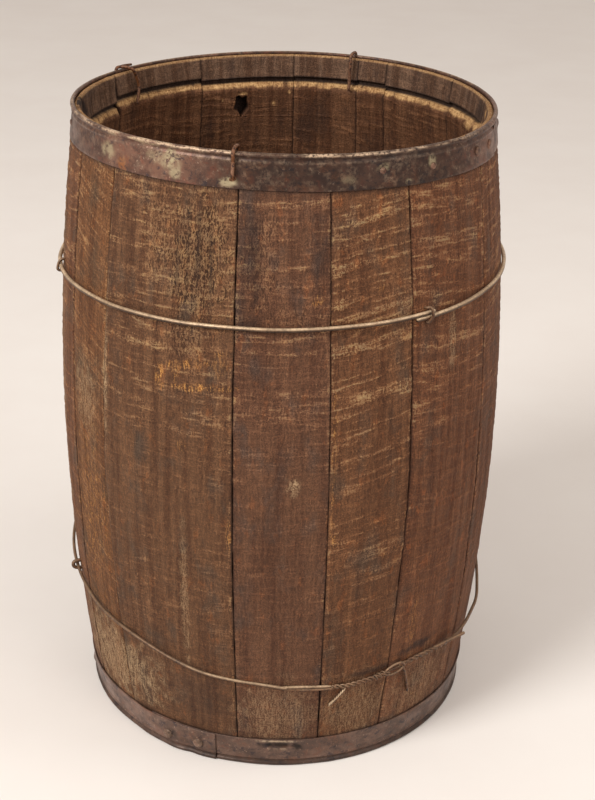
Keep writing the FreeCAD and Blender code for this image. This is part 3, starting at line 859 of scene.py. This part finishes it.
# ---- Head ----
def make_head_board(node, material):
    """One rough board of the lower head, bevelled at its rim to enter the croze."""
    low, high = box_of(node)
    middle_low, middle_high = box_of("head_board_middle")
    rim = (middle_high[1] - middle_low[1]) / 2
    left = max(low[0], -rim + 0.4) + 0.3
    right = min(high[0], rim - 0.4) - 0.3
    inner = np.arange(left + 4, right - 3.5, 2)
    x = join([left + EDGE_POINTS, inner, (right - EDGE_POINTS)[::-1]])[None, :]
    y = np.linspace(-1, 1, 181)[:, None] * np.sqrt(np.maximum(rim ** 2 - x ** 2, 4))
    bevel = 6.6 * step(15, -1, rim - np.hypot(x, y))
    worn = fade(np.minimum(x - left, right - x), 0.8)
    grain = noise(71, x / 2.2, y / 80, left / 10)
    level = rough(72, 0, y / 4, left / 10 + x / 60)
    upper = along(x, y, high[2] - bevel + 0.12 * grain + 0.15 * level - 0.5 * worn)
    under = along(x, y, low[2] + 0.1 * grain + 0.5 * worn)
    loops = join([upper, under[:, ::-1]], axis=1)
    rows, loop = loops.shape[:2]
    faces = [grid(rows, loop, wrap=True)]
    for row in (0, rows - 1):
        top = row * loop + np.arange(loop // 2)
        under_ids = row * loop + loop - 1 - np.arange(loop // 2)
        quads = np.append(top, under_ids)[grid(2, loop // 2)]
        faces.append(quads if row else quads[:, ::-1])
    points = loops.reshape(-1, 3)
    stain = 0.7 * join([worn + 0 * y, 0 * (x + y)], axis=1)
    shape = Shape()
    shape.add(points, faces, grain=points[:, [0, 2, 1]], saw=points[:, [0, 2, 1]], stain=stain,
              fuzz=0.25, torn=0, rub=0, dust=0.15, inside=1, ends=0, tint=(1, 1, 1))
    shape.piece("rough_", node, material)


# ---- Hoops ----
HOOP_THICKNESS = 0.9
HOOP_GAP = 0.1
BEAD = 1.5
BEAD_OUT = 1.1
HOOP_STEP = 0.35                # degrees between a hoop's sections
TOP_LAP = (52, 69)
BOTTOM_LAP = (-38, -16.7)

# Hollows and bumps: angle, height, half width in degrees, half height, how far outwards.
TOP_DENTS = (
    (-12.7, 441.5, 1.6, 3, -0.7), (31.3, 440.7, 1.5, 2.5, -0.6), (24.2, 447, 2, 4, -0.4),
    (38.9, 446, 2, 4, -0.4), (50.5, 456.5, 2, 4, 0.7), (88, 446.5, 4, 2.6, 2.2),
    (88, 437, 5, 4, -0.4), (-40, 446, 6, 6, -0.5), (5, 443, 5, 5, -0.4),
)
BOTTOM_DENTS = (
    (1.6, 20, 4.6, 1.8, -1), (6.3, 18, 1.1, 3, -0.7), (-31.7, 12, 3, 5, 0.5),
    (-22.2, 12, 3, 5, 0.5), (-27, 9, 2, 4, -0.6), (-29.5, 3, 3.5, 4, 1.1),
    (-24.5, 3, 1.8, 4, -0.9), (-66, 21, 9, 6, 0.7), (-78, 12, 2.2, 3.5, 1.8),
    (60, 12, 14, 6, -0.5),
)

# Marks on the hoops: cream splashes and rust on the upper one; a torn slot painted dark as the
# shade in its opening, its pale lips, and painted shadows beside the rivets on the lower one.
CREAMS = (
    (-29.2, 450, 2.6, 6.5, 1), (-28, 442, 1.6, 4, 0.7), (-14, 440, 2.2, 3, 0.8),
    (-50, 446, 2.6, 5, 0.62), (-33, 450, 3, 5, 0.5), (38.6, 448, 1.3, 4, 0.7),
    (24.5, 449, 1.4, 3, 0.45), (31.5, 438.5, 1.2, 2, 0.7), (15, 443, 2.4, 3, 0.25),
)
TOP_RUST = ((-43.9, 440, 2, 4.5, 1),)
SLOT = ((1.6, 19.2, 6, 2.2, 1), (6.6, 17.6, 1.8, 3.6, 1))
SLOT_LIPS = ((1, 23, 6, 0.8, 1), (1.8, 15, 3.4, 0.8, 0.35))
RIVET_SHADOWS = ((-30.4, 14, 1.3, 4.5, 1), (-20.9, 13.2, 1.3, 4.5, 1))


def hoop_section(width):
    """(out from the staves, distance from the rolled edge's middle) round a hoop's section."""
    band = HOOP_GAP + HOOP_THICKNESS
    outer = [(band - 0.25, width), (band, width - 0.3)]
    outer += [(band, width - 0.3 - down) for down in np.arange(1.4, width - 6.2, 1.4)]
    outer += [(band, 5.6), (band + 0.3, 4.9), (band + 0.45, 4.3), (band + 0.15, 3.7),
              (band - 0.25, 3), (band - 0.35, 2.2)]
    roll = [(BEAD_OUT + BEAD * math.cos(turn), -BEAD * math.sin(turn))
            for turn in np.radians(np.arange(-55, 236, 24))]
    inner = [(HOOP_GAP - 0.3, 2.6), (HOOP_GAP, 4.5)]
    inner += [(HOOP_GAP, down) for down in np.arange(8, width - 1, 4)]
    return np.array(outer + roll + inner + [(HOOP_GAP, width)])


def make_hoop(node, upward, lap, dents, values_at, material):
    """A flat hoop, from its hidden end round to the end that laps over it. Its rolled edge is
    at the top where upward is 1, and at the bottom where it is -1."""
    low, high = (corner[2] for corner in box_of(node))
    rolled, plain = (high - BEAD, low) if upward > 0 else (low + BEAD, high)
    section = hoop_section(abs(plain - rolled))
    turned = np.arange(lap[0], lap[1] + 360 + HOOP_STEP / 2, HOOP_STEP)[:, None]
    out = section[None, :, 0]
    height = rolled - upward * section[None, :, 1]
    across = np.radians(turned) * END
    angle = turned % 360
    radius = wall_radius(height) + out + 0.28 * rough(81, across / 26, height / 16, upward)
    radius = radius + step(lap[0] + 352, lap[0] + 359, turned) * (HOOP_THICKNESS + 0.1)
    fine = noise(82, across / 6, height / 7, upward)
    radius = radius + 0.07 * fine * step(-0.2, 0.8, out)
    for middle, level, half_angle, half_height, push in dents:
        off = turned_by(angle, middle) / half_angle
        radius = radius + push * np.exp(-off ** 2 - ((height - level) / half_height) ** 2)
    wave = 0.35 * rough(83, across / 45, 0, upward)
    height = height + wave * step(0, abs(plain - rolled), np.abs(height - rolled))
    points, faces = closed(spot(turned, radius, height))
    place = along(across, out, height).reshape(-1, 3)
    bead = step(3.4, 2.4, np.abs(height - rolled)) * step(0.2, 0.8, out)
    values = {key: np.append(np.broadcast_to(value, radius.shape), [0, 0])
              for key, value in values_at(angle, height, out, height - rolled, bead).items()}
    shape = Shape()
    shape.add(points, faces, grain=join([place, place[:2]]), **values)
    shape.piece("patinated_", node, material)


def near(angle, middle, reach, full):
    """1 within some degrees of an angle, 0 beyond a reach."""
    return step(reach, full, np.abs(turned_by(angle, middle)))


def top_values(angle, height, out, up, bead):
    # Painted reflections make the hoop paler at the left and the right and its rolled edge paler
    # at the left; the rolled edge's crest and the ridge below it are painted with highlights,
    # strongest at the front, along with wear. The middle is darker and the rolled edge paler at
    # the back.
    ahead = near(angle, -18, 85, 40)
    behind = 1 - near(angle, 0, 120, 95)
    left = near(angle, -38, 22, 6)
    right = step(44, 66, angle) * step(120, 96, angle)
    middle = step(-22, -8, turned_by(angle, 0)) * step(58, 40, turned_by(angle, 0))
    patch = step(-0.35, 0.35, rough(94, angle / 3.5, height / 1.4, 0))
    speckle = step(-0.1, 0.8, rough(95, angle / 1.3, height / 3, 4))
    crest = step(-0.6, 0.5, up) * step(0.2, 1, out)
    line = step(1, 0.2, np.abs(up + 4.3))
    worn = crest * (0.15 + 0.85 * patch) * (0.25 + 0.75 * ahead) + 0.12 * line * ahead
    orange = 0.12 * step(0.2, 0.9, noise(92, angle / 3, height / 6, 0))
    splashes = marks(91, CREAMS, angle, height) * step(0, 0.5, out)
    return {"cream": splashes + bead * (0.5 * left * patch + 0.5 * behind),
            "rust": np.maximum(orange, marks(96, TOP_RUST, angle, height)),
            "worn": np.clip(worn + 0.15 * speckle, 0, 1),
            "tone": 1.05 + 0.65 * left + 0.35 * right - 0.52 * middle + 0.9 * bead * behind}


def bottom_values(angle, height, out, up, bead):
    # Painted reflection makes the hoop paler round the left and the rolled edge is darker; the
    # slot is painted dark as the shade in its opening, and painted shadows lie beside the rivets.
    slot, lips, painted_shade = (marks(seed, places, angle, height) for seed, places in
                         ((97, SLOT), (98, SLOT_LIPS), (99, RIVET_SHADOWS)))
    orange = 0.12 * step(0.2, 0.9, noise(93, angle / 3, height / 6, 0))
    tone = 1.35 + 0.45 * near(angle, -50, 30, 8) - 0.65 * bead
    return {"cream": 0.5 * lips, "rust": orange * (1 - bead), "worn": lips,
            "tone": tone * (1 - 0.9 * slot) * (1 - 0.55 * painted_shade)}


# ---- Wires ----
UPPER_WIRE = 1.5                # radii of the wires
LOWER_WIRE = 1.2
TIE = 1.2
UPPER_WIRE_HEIGHT = 349
UPPER_WIRE_RISE = (0.023, 0.012, 0)
UPPER_WIRE_ENDS = (33, 398.5)
UPPER_WIRE_OFF = 0.8
TIE_HOLE = 442.9
CROZE_HEIGHT = 434              # where the rear ties' inner legs end

# The lower wire hoop has slipped: angle, height and air behind it.
LOWER_ROUTE = (
    (2, 74.6, 0.6), (20, 71.8, 0.6), (32, 75, 0.6), (40, 77.5, 0.6), (50, 75.5, 1.4),
    (60, 73.5, 2.4), (70, 75.5, 2.8), (80, 81, 2.9), (100, 95, 2.4), (120, 112, 1.5),
    (140, 127, 0.4), (160, 137, 0.3), (180, 139.5, 0.2), (200, 139.5, 0.2), (220, 137, 0.3),
    (240, 131, 0.4), (260, 123, 0.8), (280, 111, 1.8), (300, 98, 0.8), (320, 92, 0.6),
    (340, 80.5, 0.6), (360, 75.2, 0.6), (363, 74.9, 0.6),
)
# Its splice: a loose turn round it, a loose tail, and loose ends with their radii.
KNOT = ((27, 73.2, 2), (30.5, 74.6, 2))
TAIL = ((18.6, 68.5, 1.6), (16.3, 61, 1.8), (14.5, 55.5, 1.4))
LOOSE_ENDS = (
    (((2, 72.4, 0.6), (9, 71, 0.6), (15, 70.2, 0.8)), 1.1),
    (((30, 74, 2), (30.9, 78, 3), (33, 80.4, 3.4), (35.2, 79.6, 3.4), (35.9, 76, 3.2),
      (34.6, 72.8, 3), (32.2, 71.4, 2.6), (30.2, 72.6, 2)), 0.9),
    (((35, 79.5, 2), (36.3, 72, 2.6), (37.6, 62, 2.4), (39.6, 47, 1)), 1),
    (((48, 76.5, 2), (52, 76.5, 4), (55.5, 77, 7), (58.5, 77.5, 10)), 1.2),
)

# Hooks over the wires, as degrees along, height and air from the CAD staple's middle.
RING_HOOK = ((-1.9, 3.6, -3), (-1.9, 4.8, 2.4), (-1.5, 5.6, 4.4), (-1.1, 4.2, 5.4),
             (-0.9, 1.6, 5.6), (-0.9, -1.4, 5), (-1.2, -4.2, 3.6), (-1.5, -5.4, 2.6),
             (-1.8, -4.6, 1.8))
WIDE_HOOK = ((0, 6, -4), (0, 5.6, 0.5), (0, 4, 3.4), (0, 0.5, 4.6), (0, -2.6, 4), (0, -3.6, -3))
SMALL_HOOK = ((0, 3.4, -4), (0, 3, 3.5), (0, 1.4, 6), (0, -1.4, 6), (0, -3, 3.5), (0, -3.4, -4))


def strand(shape, route, radius, sides=8, worn=0.3, rust=0.3):
    """Adds a wire, painted bright on top as wear and a highlight by an amount for all or each of
    its rings, and painted dark beneath as shade."""
    points, faces = tube(route, radius, sides)
    rings = points[:-2].reshape(-1, sides, 3)
    up = rings[..., 2] - rings[..., 2].mean(1, keepdims=True)
    up = up / (np.abs(up).max(1, keepdims=True) + 0.001)
    patch = step(-0.5, 0.4, rough(105, rings / 9))
    bright = np.reshape(worn, (-1, 1)) * step(0, 0.7, up) * (0.6 + 0.4 * patch)
    tone = 0.22 + 0.9 * step(-0.5, 0.5, up)
    shape.add(points, faces, grain=points, cream=0, rust=rust,
              worn=np.append(bright, [0, 0]), tone=np.append(tone, [1, 1]))


def route_round(places, gap=0):
    """A rounded line through places: angle, height and air behind it."""
    spots = [spot(angle, wall_radius(height) + air + gap, height) for angle, height, air in places]
    return smooth_route(spots, 0.7)


def wind(shape, line, pitch, spread, phases, radius, **looks):
    """Adds a strand for each phase, winding round a line."""
    length = np.append(0, np.cumsum(np.linalg.norm(np.diff(line, axis=0), axis=1)))
    out = line * (1, 1, 0)
    out = out / np.linalg.norm(out, axis=1)[:, None]
    for phase in phases:
        turn = (2 * np.pi * length / pitch + phase)[:, None]
        off = np.sin(turn) * out + np.cos(turn) * np.array((0, 0, 1))
        strand(shape, line + spread * off, radius, **looks)


def make_upper_wire(material):
    """One turn of wire; its ends lie one above the other where they meet."""
    start, end = UPPER_WIRE_ENDS
    angle = np.arange(start, end + 0.1, 1)
    base = spot(angle, wall_radius(UPPER_WIRE_HEIGHT), 0)
    height = UPPER_WIRE_HEIGHT + base @ np.array(UPPER_WIRE_RISE)
    height = height + UPPER_WIRE * (2 * (angle - start) / (end - start) - 1)
    height = height + 0.5 * noise(102, spot(angle, 4, 5))
    off = UPPER_WIRE_OFF + UPPER_WIRE + 0.35 * noise(101, spot(angle, 6, 0.5))
    route = smooth_route(spot(angle, wall_radius(height) + off, height), 1.2)
    shape = Shape()
    strand(shape, route, UPPER_WIRE, 12, worn=1, rust=0.1)
    shape.piece("worn_", "upper_wire_hoop", material)


def make_lower_wire(material):
    """A slack turn of wire, and the twisted splice and loose ends of its joint."""
    shape = Shape()
    both = (0, math.pi)
    line = route_round(LOWER_ROUTE, LOWER_WIRE)
    angle = angles_of(line)
    thin = step(13, 16, angle) * step(58, 54, angle)
    # The wire's top is painted brighter at the front, a painted highlight.
    worn = 0.14 + 0.6 * step(-30, -12, angle) * step(22, 12, angle)
    worn = np.pad(worn, 2, mode="edge")
    strand(shape, line, LOWER_WIRE * (1 - 0.6 * thin), 10, worn=worn, rust=0.2)
    for start, end, pitch in ((15, 31, 8.5), (35, 56, 11)):
        between = [(a, z, air + 1.4) for a, z, air in LOWER_ROUTE if start < a < end]
        first, last = np.interp((start, end), *np.transpose(LOWER_ROUTE)[:2])
        line = route_round([(start, first, 1.8), *between, (end, last, 3.6)])
        wind(shape, line, pitch, 0.95, both, 0.85, worn=0.12)
    wind(shape, route_round(KNOT), 3.6, 1.9, (0,), 0.8, worn=0.25)
    wind(shape, route_round(TAIL), 4.5, 0.7, both, 0.6, worn=1, rust=0.1)
    for places, radius in LOOSE_ENDS:
        strand(shape, route_round(places), radius, rust=0.4)
    shape.piece("worn_", "lower_wire_hoop", material)


def make_staples(material):
    shape = Shape()
    for angle, height in places_of("wire_hoop_staples"):
        high = height > LENGTH / 2
        hook = RING_HOOK if angle > 0 else WIDE_HOOK if high else SMALL_HOOK
        route = route_round([(angle + turn, height + up, air) for turn, up, air in hook])
        strand(shape, route, 1 if high else 1.4, 10, worn=0.1, rust=0.2)
    shape.piece("bent_", "wire_hoop_staples", material)


def make_tie(node, material):
    """A wire through a hole in the hoop and stave, bent over the rim and down inside."""
    low, high = box_of(node)
    angle = float(angles_of((low + high) / 2))
    base = wall_radius(TIE_HOLE)
    inside = base - CHIME - CHIME_TAPER - TIE - 0.7
    outside = base + 2.2 + TIE
    bead = END + BEAD_OUT + BEAD + TIE + 0.4
    top = high[2] - TIE
    swing = -2.6 if node.endswith("rear_left") else 0
    end = CROZE_HEIGHT if abs(angle) > 90 else TIE_HOLE + 3
    places = ((swing, inside - 1.5, end), (swing * 1.4, inside - 1.2, (end + LENGTH) / 2),
              (swing * 1.1, inside - 0.6, LENGTH - 4), (swing * 0.5, inside + 1, top - 0.8),
              (0, bead - 3.5, top), (0, bead, top - 2.5), (0, bead, LENGTH - 5),
              (0, outside, TIE_HOLE + 3), (0, outside - 1, TIE_HOLE),
              (0, base - 4, TIE_HOLE - 0.4))
    shape = Shape()
    route = smooth_route([spot(angle + turn, r, z) for turn, r, z in places], 0.6)
    strand(shape, route, TIE, 12, worn=0.35, rust=0.6)
    if swing:
        lying = [spot(angle + turn, END + 0.4, top + lift)
                 for turn, lift in ((1.8, -1.2), (0.8, 0.2), (-2, 0.3), (-5, -0.3))]
        strand(shape, smooth_route(lying, 0.6), 0.9, 10, worn=0.1, rust=0.5)
    shape.piece("rusty_", node, material)


# A rivet's or nail's head, from its crown to its hidden back: shares of its radius and rise.
HEAD_PROFILE = np.array([(0.02, 1), (0.35, 0.97), (0.65, 0.85), (0.88, 0.6), (1, 0.3),
                         (1, -0.9), (0.5, -1), (0.02, -1)])


def make_heads(node, radius, rise, out, material):
    """Domed rivet or nail heads on a hoop, with painted shade towards the upper right and painted
    light towards the lower left.
    """
    shape = Shape()
    turn = np.linspace(0, 2 * np.pi, 24, endpoint=False)[None, :]
    size, depth = HEAD_PROFILE[:, :1], HEAD_PROFILE[:, 1:]
    tone = 1.35 - 0.7 * size * (np.cos(turn) + np.sin(turn)) / math.sqrt(2)
    for angle, height in places_of(node):
        base = wall_radius(height) + out
        wobble = noise(111, np.cos(turn) * 1.5, np.sin(turn) * 1.5, height / 10)
        reach = size * radius * (1 + 0.07 * wobble)
        turned = angle + np.degrees(reach * np.cos(turn) / base)
        rings = spot(turned, base + depth * rise + 0 * turn, height + reach * np.sin(turn))
        points, faces = closed(rings)
        shape.add(points, faces, grain=points, cream=0, rust=0.1, worn=0.12,
                  tone=np.append(tone, [1.4, 1]))
    shape.piece("hammered_", node, material)


# ---- The keg ----
wood = wood_material()
hoop_steel = steel_material("patinated_hoop_steel", (0.114, 0.058, 0.039), (0.056, 0.027, 0.019),
                            (0.116, 0.042, 0.026), (0.56, 0.4, 0.27))
low_hoop_steel = steel_material("patinated_low_hoop_steel", (0.112, 0.067, 0.049),
                                (0.066, 0.04, 0.03), (0.104, 0.05, 0.034), (0.56, 0.42, 0.29))
wire_steel = steel_material("worn_wire_steel", (0.17, 0.108, 0.064), (0.08, 0.046, 0.028),
                            (0.15, 0.07, 0.035), (0.7, 0.515, 0.335), 0.42, 0.6)
rusty_steel = steel_material("rusty_tie_steel", (0.078, 0.034, 0.021), (0.036, 0.018, 0.013),
                             (0.11, 0.042, 0.021), (0.32, 0.21, 0.15), 0.6)

for number in range(1, len(STAVES) + 1):
    make_stave(number, wood)
for board in ("head_board_left", "head_board_middle", "head_board_right"):
    make_head_board(board, wood)
make_hoop("top_hoop", 1, TOP_LAP, TOP_DENTS, top_values, hoop_steel)
make_hoop("bottom_hoop", -1, BOTTOM_LAP, BOTTOM_DENTS, bottom_values, low_hoop_steel)
make_heads("top_hoop_rivets", 3.4, 1.4, 2.2, hoop_steel)
make_heads("bottom_hoop_rivets", 3.9, 1.9, 2.4, low_hoop_steel)
make_heads("top_hoop_nails", 2.2, 0.8, 1, hoop_steel)
make_upper_wire(wire_steel)
make_lower_wire(wire_steel)
make_staples(wire_steel)
for tie in ("rim_tie_front", "rim_tie_rear_left", "rim_tie_rear_right"):
    make_tie(tie, rusty_steel)


# ---- Floor, light and camera ----
def make_floor():
    mesh = bpy.data.meshes.new("floor")
    corners = [(x, y, 0) for x, y in ((-40, -40), (40, -40), (40, 40), (-40, 40))]
    mesh.from_pydata(corners, [], [(0, 1, 2, 3)])
    paint = Paint("pale_floor", roughness=0.9, specular=0.2)
    cloth = paint.noise(paint.add("TexCoord", {}, "Object"), (6, 6, 6), 5)
    pale = ((0.865, 0.822, 0.785), (0.895, 0.86, 0.825))
    mesh.materials.append(paint.finish(paint.mix(paint.ramp(cloth, 0.2, 0.8), *pale)))
    add_object("floor", mesh)


def area_light(name, place, target, size, power, colour):
    light = bpy.data.lights.new(name, "AREA")
    light.shape = "DISK"
    light.size = size
    light.energy = power
    light.color = colour
    lamp = add_object(name, light)
    lamp.location = place
    lamp.rotation_mode = "QUATERNION"
    lamp.rotation_quaternion = (Vector(target) - Vector(place)).to_track_quat("-Z", "Y")


def make_lights():
    world = bpy.data.worlds.new("studio")
    world.use_nodes = True
    background = world.node_tree.nodes["Background"].inputs
    background["Color"].default_value = (1, 0.9, 0.82, 1)
    background["Strength"].default_value = 0.58
    bpy.context.scene.world = world
    area_light("key", (-1.9, -1.7, 2.3), (0, 0, 0.2), 1.3, 79, (1, 0.98, 0.95))
    area_light("top", (1.1, -0.3, 1.9), (0, 0, 0.4), 0.8, 6, (1, 0.97, 0.93))
    area_light("fill", (1.8, -1.9, 1.6), (0, 0, 0.2), 1.6, 16, (1, 0.96, 0.92))


CAMERA_PLACE = (0, -1.0622, 0.7189)
CAMERA_LENS = 69.53
CAMERA_PITCH = 0.4336           # radians below the horizon
CAMERA_TURN = -0.0117
CAMERA_ROLL = 0.0240


def make_camera():
    data = bpy.data.cameras.new("camera")
    data.sensor_width = 36
    data.lens = CAMERA_LENS
    data.clip_end = 200
    camera = add_object("camera", data)
    turn = Matrix.Rotation(CAMERA_TURN, 4, "Z")
    tilt = Matrix.Rotation(math.pi / 2 - CAMERA_PITCH, 4, "X")
    roll = Matrix.Rotation(CAMERA_ROLL, 4, "Z")
    camera.matrix_world = Matrix.Translation(CAMERA_PLACE) @ turn @ tilt @ roll
    bpy.context.scene.camera = camera


make_floor()
make_lights()
make_camera()
bpy.context.scene.view_settings.view_transform = "Standard"
